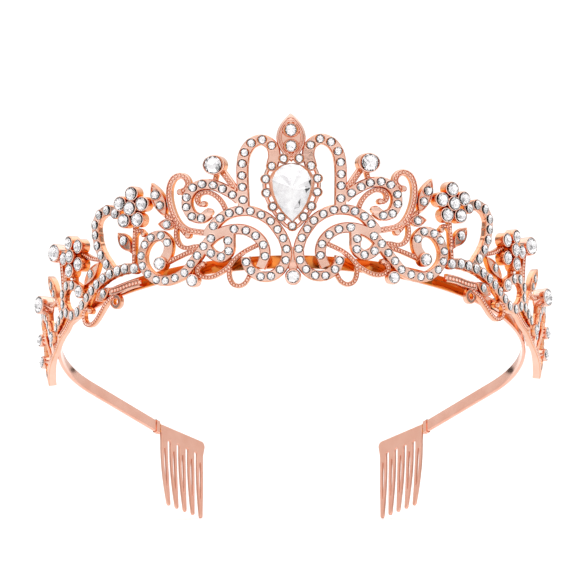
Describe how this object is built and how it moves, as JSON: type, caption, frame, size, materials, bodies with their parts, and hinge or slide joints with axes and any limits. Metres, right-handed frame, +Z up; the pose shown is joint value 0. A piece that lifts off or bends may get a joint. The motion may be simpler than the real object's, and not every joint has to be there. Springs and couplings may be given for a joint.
{
  "type": "bridal tiara",
  "caption": "Openwork rose-gold crown of scrolls and flowers set with clear stones, on a flat spring headband with a hair comb at each end.",
  "frame": {"origin": "centre of the round front of the headband, in the middle of its width and thickness", "axes": "+X to the viewer's right, +Y from the front of the tiara to the back of the head, +Z up; the headband's plane leans 24.6 degrees, its front higher than its back, as the tiara is worn"},
  "size_m": [0.1511, 0.1334, 0.1197],
  "materials": {
    "cast_alloy": "polished rose-gold plate on cast zinc alloy",
    "band_steel": "polished rose-gold plate on spring steel strip",
    "comb_steel": "satin rose-gold plate on pressed steel",
    "crystal": "clear faceted glass with foiled backs"
  },
  "bodies": {
    "root": {"comb_left": "comb_steel", "comb_right": "comb_steel", "crimp_left": "band_steel", "crimp_right": "band_steel", "crown_centre": "cast_alloy", "crown_side_left": "cast_alloy", "crown_side_right": "cast_alloy", "foot_drop_stone_left": "crystal", "foot_drop_stone_right": "crystal", "foot_stone_centre": "crystal", "front_scroll_stone_left": "crystal", "front_scroll_stone_right": "crystal", "front_stud_stone_left": "crystal", "front_stud_stone_right": "crystal", "front_tab_left": "cast_alloy", "front_tab_right": "cast_alloy", "headband": "band_steel", "leaf_stone_1": "crystal", "leaf_stone_2": "crystal", "pear_stone": "crystal", "rail_end_stone_left": "crystal", "rail_end_stone_right": "crystal", "rear_flower_centre_stone_left": "crystal", "rear_flower_centre_stone_right": "crystal", "rear_flower_petal_1_stone_left": "crystal", "rear_flower_petal_1_stone_right": "crystal", "rear_flower_petal_2_stone_left": "crystal", "rear_flower_petal_2_stone_right": "crystal", "rear_flower_petal_3_stone_left": "crystal", "rear_flower_petal_3_stone_right": "crystal", "rear_flower_petal_4_stone_left": "crystal", "rear_flower_petal_4_stone_right": "crystal", "rear_flower_petal_5_stone_left": "crystal", "rear_flower_petal_5_stone_right": "crystal", "rear_hoop_lower_stone_left": "crystal", "rear_hoop_lower_stone_right": "crystal", "rear_hoop_upper_stone_left": "crystal", "rear_hoop_upper_stone_right": "crystal", "rear_stud_stone_left": "crystal", "rear_stud_stone_right": "crystal", "rear_tab_left": "cast_alloy", "rear_tab_right": "cast_alloy", "side_flower_centre_stone_left": "crystal", "side_flower_centre_stone_right": "crystal", "side_flower_petal_1_stone_left": "crystal", "side_flower_petal_1_stone_right": "crystal", "side_flower_petal_2_stone_left": "crystal", "side_flower_petal_2_stone_right": "crystal", "side_flower_petal_3_stone_left": "crystal", "side_flower_petal_3_stone_right": "crystal", "side_flower_petal_4_stone_left": "crystal", "side_flower_petal_4_stone_right": "crystal", "side_flower_petal_5_stone_left": "crystal", "side_flower_petal_5_stone_right": "crystal", "side_scroll_stone_left": "crystal", "side_scroll_stone_right": "crystal", "side_stud_stone_left": "crystal", "side_stud_stone_right": "crystal", "side_tab_left": "cast_alloy", "side_tab_right": "cast_alloy"}
  },
  "joints": []
}
